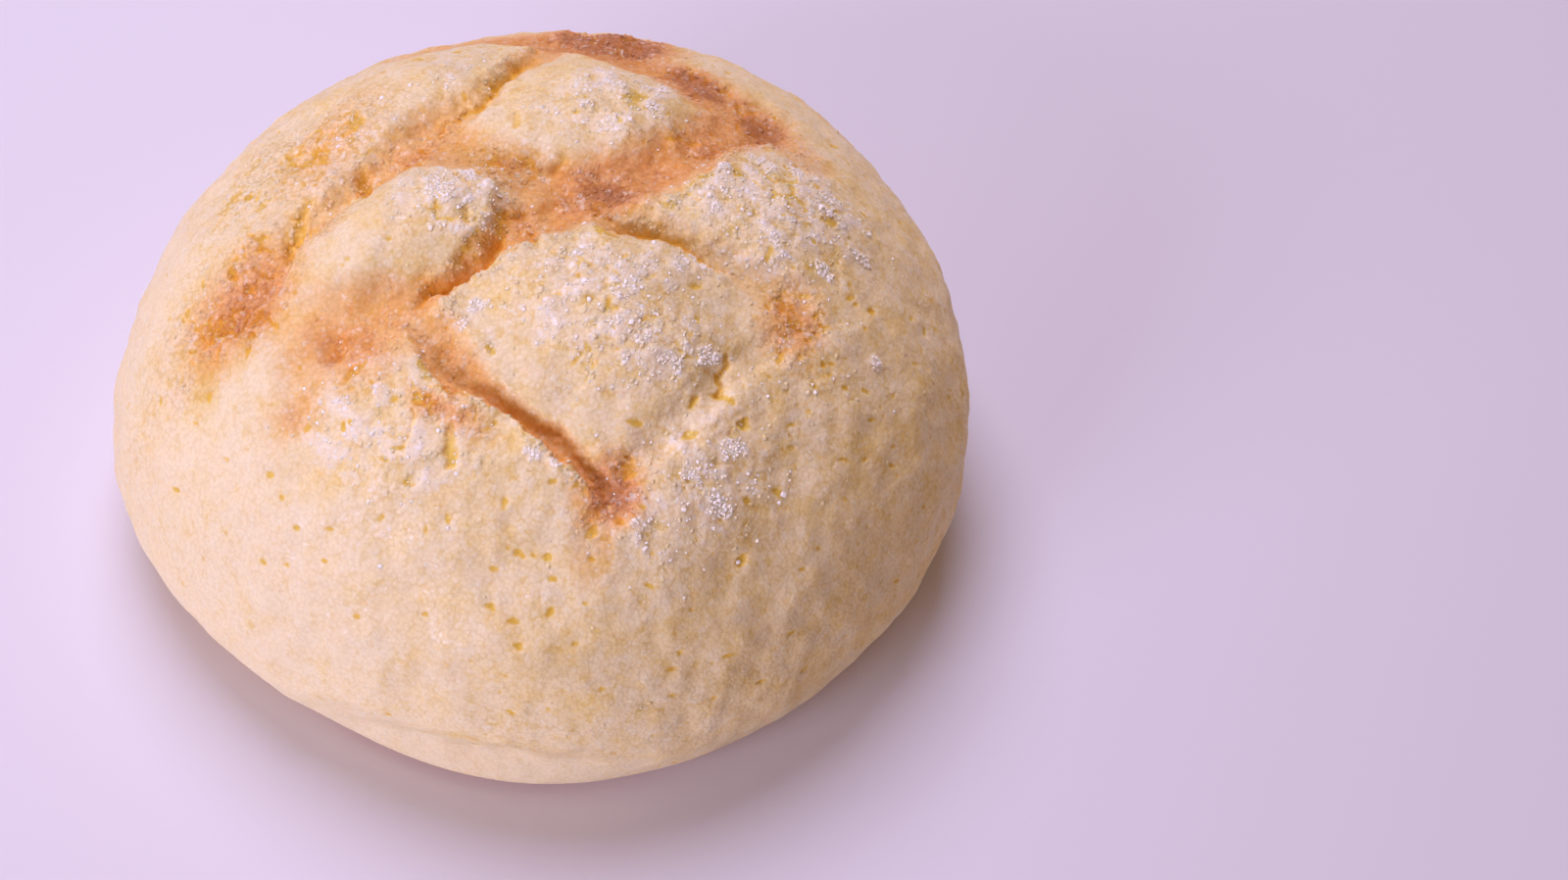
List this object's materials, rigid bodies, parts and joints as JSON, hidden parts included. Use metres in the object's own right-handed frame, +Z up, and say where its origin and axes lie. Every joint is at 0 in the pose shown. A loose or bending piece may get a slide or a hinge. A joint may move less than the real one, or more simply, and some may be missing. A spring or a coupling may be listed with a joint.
{
  "type": "melon pan bun",
  "caption": "Round domed sweet bun with a pale biscuit crust scored into a browned lattice of puffed tiles, on a flat foot.",
  "frame": {"origin": "middle of the width and depth at the foot, on the surface that the bun rests on", "axes": "+Z up through the dome, -Y towards the front, +X to the right"},
  "size_m": [0.1104, 0.1096, 0.0492],
  "materials": {
    "crust": "matte, fine-grained, pale yellow, browned in the grooves",
    "sugar": "clear to white granulated sugar crystals"
  },
  "bodies": {
    "root": {"bun": "crust"}
  },
  "joints": []
}
